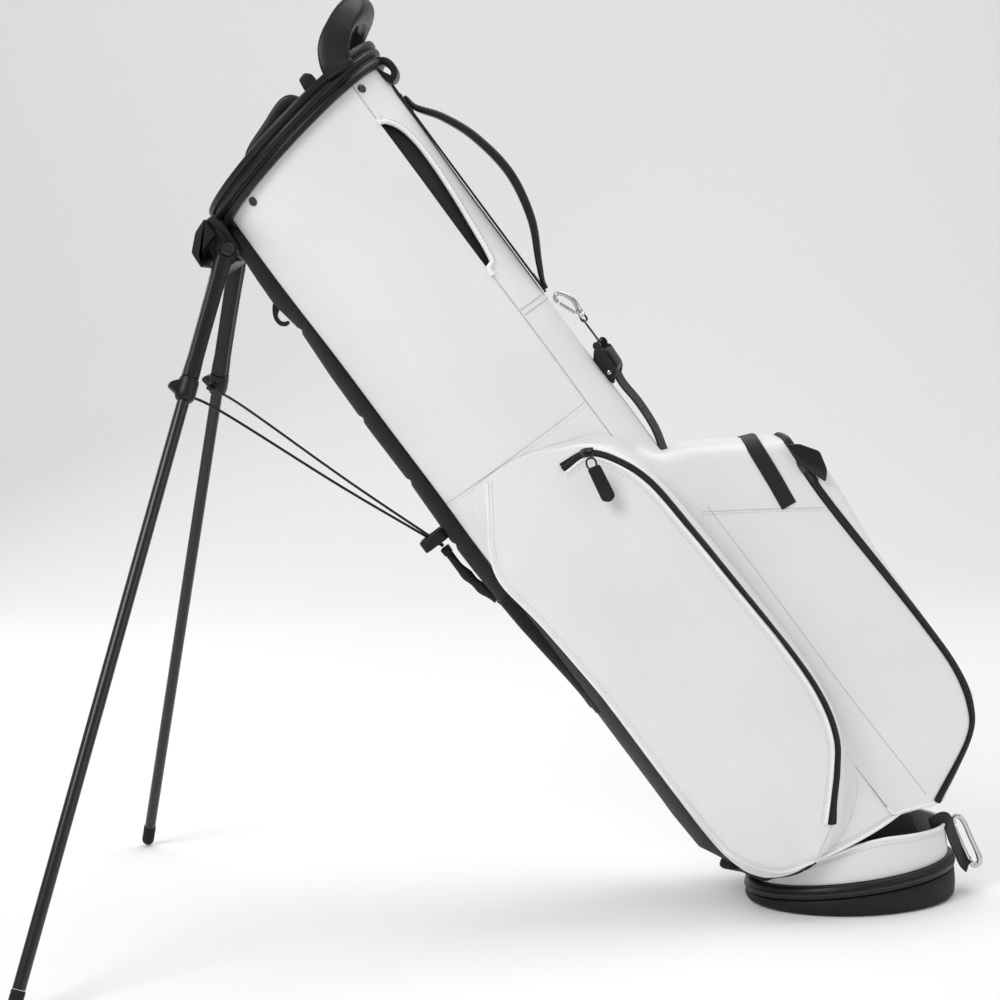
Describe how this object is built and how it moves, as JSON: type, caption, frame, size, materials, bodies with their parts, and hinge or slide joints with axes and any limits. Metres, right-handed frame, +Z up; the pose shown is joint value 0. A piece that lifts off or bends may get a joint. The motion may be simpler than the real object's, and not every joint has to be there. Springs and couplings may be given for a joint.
{
  "type": "golf stand bag",
  "caption": "Leaning golf stand bag in white leather with black trim, a ball pocket, side pockets, and two spring-out legs worked by a push rod under its tilting base.",
  "frame": {"origin": "centre of the base's flat sole, on the ground", "axes": "+Z up; -X towards the legs; +X towards the ball pocket; +Y across the bag, from the near side to the far side"},
  "size_m": [0.8766, 0.5938, 0.8737],
  "materials": {
    "white_leather": "white coated leather, fine grain",
    "black_plastic": "moulded black plastic, satin",
    "black_fabric": "black woven nylon",
    "black_webbing": "black ribbed webbing",
    "black_leather": "black leather, semi-gloss",
    "black_rubber": "black rubber, matt",
    "steel": "polished steel",
    "black_wire": "spring steel wire, coated black",
    "dark_metal": "dark plated metal",
    "carbon_tube": "gloss black composite tube"
  },
  "bodies": {
    "base": {"base_sole": "black_rubber", "base_rim": "black_plastic", "base_frame": "black_plastic", "base_cuff": "white_leather", "base_gusset": "black_fabric", "tilt_pin_near": "steel", "tilt_pin_far": "steel", "tether_strap": "black_webbing"},
    "tether_clip": {"tether_clip": "steel"},
    "tether_gate": {"tether_clip_gate": "dark_metal"},
    "bag": {"side_panel_near": "white_leather", "side_panel_far": "white_leather", "spine_stay_near": "carbon_tube", "spine_stay_far": "carbon_tube", "side_pocket_near": "white_leather", "side_pocket_far": "white_leather", "pivot_bolt_near": "dark_metal", "pivot_bolt_far": "dark_metal", "tilt_arm_near": "dark_metal", "tilt_arm_far": "dark_metal", "ball_side_panel": "white_leather", "spine_panel": "black_fabric", "spine_heel": "black_fabric", "spine_pad": "black_fabric", "rod_keeper": "black_rubber", "umbrella_hook": "black_plastic", "divider_frame": "black_plastic", "divider_sheet_spine": "black_fabric", "divider_sheet_ball": "black_fabric", "divider_sheet_middle": "black_fabric", "collar": "black_plastic", "lift_handle": "black_plastic", "ball_pocket": "white_leather", "handle_base_strip": "black_webbing", "carry_handle": "black_plastic", "lower_strap": "black_webbing", "strap_buckle": "black_plastic", "leg_bracket": "black_plastic"},
    "leg_near": {"leg_sleeve_near": "carbon_tube", "leg_clamp_near": "black_plastic", "leg_tube_near": "carbon_tube", "leg_foot_near": "black_rubber"},
    "leg_far": {"leg_sleeve_far": "carbon_tube", "leg_clamp_far": "black_plastic", "leg_tube_far": "carbon_tube", "leg_foot_far": "black_rubber"},
    "push_rod": {"rod_boot": "black_rubber", "push_rod": "black_wire"},
    "wire_near": {"leg_wire_near": "black_wire"},
    "wire_far": {"leg_wire_far": "black_wire"},
    "side_slider_near": {"side_zip_slider_near": "dark_metal"},
    "side_slider_far": {"side_zip_slider_far": "dark_metal"},
    "side_pull_near": {"side_zip_pull_near": "black_leather"},
    "side_pull_far": {"side_zip_pull_far": "black_leather"},
    "ball_slider": {"ball_zip_slider": "dark_metal"},
    "ball_pull": {"ball_zip_pull": "black_leather"},
    "strap_ring": {"strap_ring": "dark_metal"},
    "snap_hook": {"snap_hook": "steel"},
    "snap_gate": {"snap_hook_gate": "dark_metal"}
  },
  "joints": [
    {"name": "body_tilt", "type": "hinge", "parent": "base", "child": "bag", "pos_m": [0.04, 0, 0.04], "axis": [0, 1, 0], "range_deg": [0, 34.2]},
    {"name": "leg_near_fold", "type": "hinge", "parent": "bag", "child": "leg_near", "pos_m": [-0.5671, -0.04, 0.64231], "axis": [0.369, -0.8949, 0.2508], "range_deg": [0, 52.72]},
    {"name": "leg_far_fold", "type": "hinge", "parent": "bag", "child": "leg_far", "pos_m": [-0.5671, 0.04, 0.64231], "axis": [-0.369, -0.8949, -0.2508], "range_deg": [0, 52.72]},
    {"name": "push_rod_slide", "type": "slide", "parent": "bag", "child": "push_rod", "axis": [0.5621, 0, -0.8271], "range_m": [0, 0.0816]},
    {"name": "wire_near_swing", "type": "hinge", "parent": "push_rod", "child": "wire_near", "pos_m": [-0.3787, -0.004, 0.35443], "axis": [-0.4153, 0.8862, -0.2055], "range_deg": [0, 22.85]},
    {"name": "wire_far_swing", "type": "hinge", "parent": "push_rod", "child": "wire_far", "pos_m": [-0.3787, 0.004, 0.35443], "axis": [0.4153, 0.8862, 0.2055], "range_deg": [0, 22.85]},
    {"name": "side_zip_near_slide", "type": "slide", "parent": "bag", "child": "side_slider_near", "axis": [0.9179, 0, -0.3969], "range_m": [0, 0.055]},
    {"name": "side_zip_far_slide", "type": "slide", "parent": "bag", "child": "side_slider_far", "axis": [0.9179, 0, -0.3969], "range_m": [0, 0.055]},
    {"name": "side_pull_near_lift", "type": "hinge", "parent": "side_slider_near", "child": "side_pull_near", "pos_m": [-0.2319, -0.1023, 0.4311], "axis": [-0.9305, 0, -0.3662], "range_deg": [0, 90]},
    {"name": "side_pull_far_lift", "type": "hinge", "parent": "side_slider_far", "child": "side_pull_far", "pos_m": [-0.2319, 0.1023, 0.4311], "axis": [0.9305, 0, 0.3662], "range_deg": [0, 90]},
    {"name": "ball_zip_slide", "type": "slide", "parent": "bag", "child": "ball_slider", "axis": [0.5621, 0, -0.8271], "range_m": [0, 0.22]},
    {"name": "ball_pull_lift", "type": "hinge", "parent": "ball_slider", "child": "ball_pull", "pos_m": [-0.0409, -0.0582, 0.4329], "axis": [-0.5701, 0, -0.8216], "range_deg": [0, 90]},
    {"name": "strap_ring_swing", "type": "hinge", "parent": "bag", "child": "strap_ring", "pos_m": [-0.2228, 0, 0.5432], "axis": [0, 1, 0], "range_deg": [0, 45]},
    {"name": "snap_hook_swivel", "type": "hinge", "parent": "strap_ring", "child": "snap_hook", "pos_m": [-0.23694, 0, 0.56926], "axis": [-0.5621, 0, 0.8271], "range_deg": [-180, 180]},
    {"name": "snap_gate_open", "type": "hinge", "parent": "snap_hook", "child": "snap_gate", "pos_m": [-0.24351, 0, 0.57144], "axis": [0, 1, 0], "range_deg": [0, 22], "stiffness_Nm_per_rad": 0.02, "springref_deg": -5.73},
    {"name": "tether_clip_swing", "type": "hinge", "parent": "base", "child": "tether_clip", "pos_m": [0.1225, 0, 0.0255], "axis": [0, 1, 0], "range_deg": [0, 62.2]},
    {"name": "tether_gate_open", "type": "hinge", "parent": "tether_clip", "child": "tether_gate", "pos_m": [0.11459, 0, 0.03201], "axis": [0, 1, 0], "range_deg": [0, 12], "stiffness_Nm_per_rad": 0.02, "springref_deg": -5.73}
  ],
  "couplings": [
    {"joint": "leg_near_fold", "follows": "body_tilt", "ratio": 1.5409},
    {"joint": "leg_far_fold", "follows": "body_tilt", "ratio": 1.5409},
    {"joint": "push_rod_slide", "follows": "body_tilt", "m_per_rad": 0.1365},
    {"joint": "wire_near_swing", "follows": "body_tilt", "ratio": 0.66781},
    {"joint": "wire_far_swing", "follows": "body_tilt", "ratio": 0.66781},
    {"joint": "tether_clip_swing", "follows": "body_tilt", "ratio": 1.8129}
  ]
}
